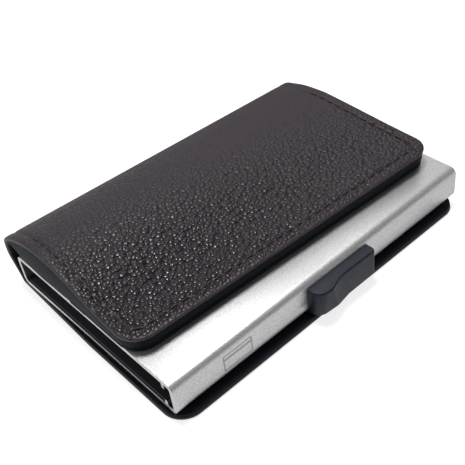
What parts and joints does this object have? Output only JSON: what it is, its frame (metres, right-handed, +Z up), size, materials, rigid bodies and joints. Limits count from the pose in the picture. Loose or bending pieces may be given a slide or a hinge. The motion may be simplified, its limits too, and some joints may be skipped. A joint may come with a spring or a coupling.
{
  "type": "card holder wallet",
  "caption": "Slide-out aluminium card case with a side trigger, held in a folding leather cover whose pocketed flap closes over the top.",
  "frame": {"origin": "on the resting face under the cover's back, below the middle of the card case", "axes": "+X along the case from its open mouth to its closed end, -Y towards the trigger side, +Y towards the cover's spine, +Z up through the flap"},
  "size_m": [0.0996, 0.0711, 0.0221],
  "materials": {
    "case_aluminium": "bead-blasted and clear anodised",
    "black_plastic": "fine moulded texture",
    "black_felt": "pressed felt",
    "plate_steel": "thin plated sheet",
    "adhesive": "double-sided foam film",
    "outer_leather": "dark brown pebble grain, painted edges",
    "black_leather": "fine smooth grain",
    "stiffener_board": "grey fibre board",
    "magnet_nickel": "nickel plated",
    "brown_thread": "bonded polyester thread"
  },
  "bodies": {
    "case": {"card_case": "case_aluminium", "end_cap": "black_plastic", "lower_card_liner": "black_felt", "upper_card_liner": "black_felt", "keeper_plates": "plate_steel", "adhesive_sheet": "adhesive", "back_leather": "outer_leather", "back_board": "stiffener_board", "back_lining": "black_leather"},
    "slide": {"slide_trigger": "black_plastic", "slider_carriage": "black_plastic"},
    "spine": {"spine_leather": "outer_leather", "spine_lining": "black_leather"},
    "flap": {"flap_leather": "outer_leather", "flap_board": "stiffener_board", "flap_lining": "black_leather", "bill_pocket_panel": "black_leather", "rear_card_pocket": "black_leather", "front_card_pocket": "black_leather", "flap_magnets": "magnet_nickel", "flap_stitching": "brown_thread"}
  },
  "joints": [
    {"name": "trigger_slide", "type": "slide", "parent": "case", "child": "slide", "axis": [-1, 0, 0], "range_m": [0, 0.016]},
    {"name": "spine_fold", "type": "hinge", "parent": "case", "child": "spine", "pos_m": [0, 0.0346, 0.0016], "axis": [-1, 0, 0], "range_deg": [0, 90]},
    {"name": "flap_fold", "type": "hinge", "parent": "spine", "child": "flap", "pos_m": [0, 0.0305, 0.0187], "axis": [-1, 0, 0], "range_deg": [0, 95]}
  ]
}
